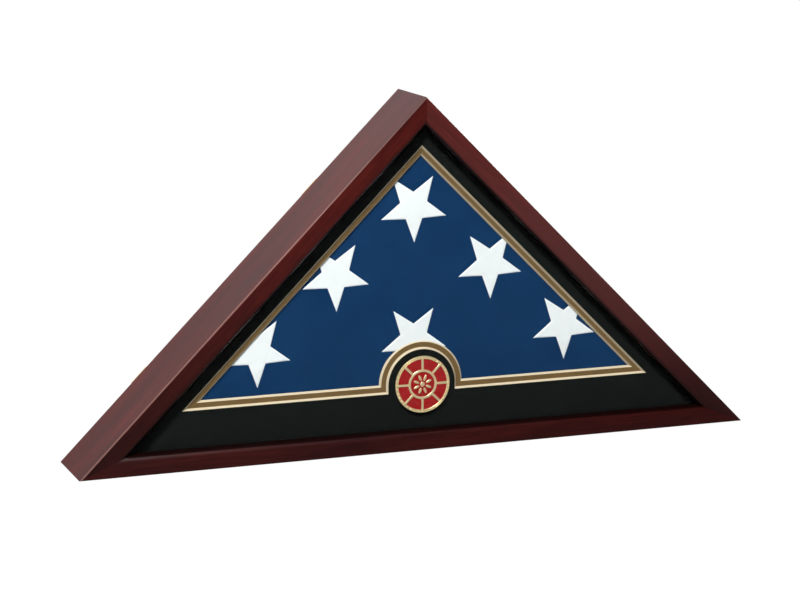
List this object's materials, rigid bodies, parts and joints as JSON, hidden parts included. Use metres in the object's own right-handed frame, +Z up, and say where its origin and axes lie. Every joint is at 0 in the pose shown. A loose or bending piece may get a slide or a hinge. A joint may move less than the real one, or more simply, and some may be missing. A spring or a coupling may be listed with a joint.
{
  "type": "folded flag display case",
  "caption": "Triangular wooden display case for a folded flag, with a glazed front, bevelled mats, a medallion and a loose back panel held by turn buttons.",
  "frame": {"origin": "middle of the underside of the bottom rail", "axes": "+X to the right as seen from the front along the long side, +Y to the back, +Z up to the apex"},
  "size_m": [0.673, 0.0822, 0.3365],
  "materials": {
    "frame_wood": "dark mahogany stain under satin lacquer",
    "key_wood": "plain sawn hardwood, glued",
    "bead_wood": "stained softwood bead",
    "pane": "clear float glass",
    "spacer": "matt black strip",
    "black_mat": "black paper mat board with a cream core",
    "gold_mat": "antique gold paper mat board with a cream core",
    "antique_brass": "struck, antiqued and polished on the high points",
    "red_enamel": "hard red enamel",
    "foam_pad": "double-sided foam pad",
    "steel_pin": "bright steel",
    "flag_cloth": "navy cotton with embroidered white stars",
    "panel_board": "brown hardboard, smooth face out",
    "black_felt": "black felt",
    "turn_button": "brass-plated steel, lightly brushed",
    "brass_screw": "brass, slotted round head"
  },
  "bodies": {
    "frame": {"bottom_rail": "frame_wood", "left_rail": "frame_wood", "right_rail": "frame_wood", "apex_spline": "key_wood", "left_spline": "key_wood", "right_spline": "key_wood", "glass_pane": "pane", "left_spacer": "spacer", "right_spacer": "spacer", "bottom_spacer": "spacer", "upper_mat": "black_mat", "lower_mat": "gold_mat", "medallion_plate": "antique_brass", "medallion_enamel": "red_enamel", "medallion_pad": "foam_pad", "left_bead": "bead_wood", "right_bead": "bead_wood", "bottom_bead": "bead_wood", "bead_brads": "steel_pin", "folded_flag": "flag_cloth", "turn_button_screws": "brass_screw"},
    "back_panel": {"back_panel": "panel_board", "panel_lining": "black_felt"},
    "turn_button_1": {"turn_button_1": "turn_button"},
    "turn_button_2": {"turn_button_2": "turn_button"},
    "turn_button_3": {"turn_button_3": "turn_button"},
    "turn_button_4": {"turn_button_4": "turn_button"},
    "turn_button_5": {"turn_button_5": "turn_button"},
    "turn_button_6": {"turn_button_6": "turn_button"}
  },
  "joints": [
    {"name": "panel_pull", "type": "slide", "parent": "frame", "child": "back_panel", "axis": [0, 1, 0], "range_m": [0, 0.12]},
    {"name": "turn_button_1_turn", "type": "hinge", "parent": "frame", "child": "turn_button_1", "pos_m": [-0.17, 0.039, 0.0045], "axis": [0, -1, 0], "continuous": true},
    {"name": "turn_button_2_turn", "type": "hinge", "parent": "frame", "child": "turn_button_2", "pos_m": [0.17, 0.039, 0.0045], "axis": [0, -1, 0], "continuous": true},
    {"name": "turn_button_3_turn", "type": "hinge", "parent": "frame", "child": "turn_button_3", "pos_m": [-0.08021, 0.039, 0.24992], "axis": [0, -1, 0], "continuous": true},
    {"name": "turn_button_4_turn", "type": "hinge", "parent": "frame", "child": "turn_button_4", "pos_m": [-0.24992, 0.039, 0.08021], "axis": [0, -1, 0], "continuous": true},
    {"name": "turn_button_5_turn", "type": "hinge", "parent": "frame", "child": "turn_button_5", "pos_m": [0.24992, 0.039, 0.08021], "axis": [0, -1, 0], "continuous": true},
    {"name": "turn_button_6_turn", "type": "hinge", "parent": "frame", "child": "turn_button_6", "pos_m": [0.08021, 0.039, 0.24992], "axis": [0, -1, 0], "continuous": true}
  ]
}
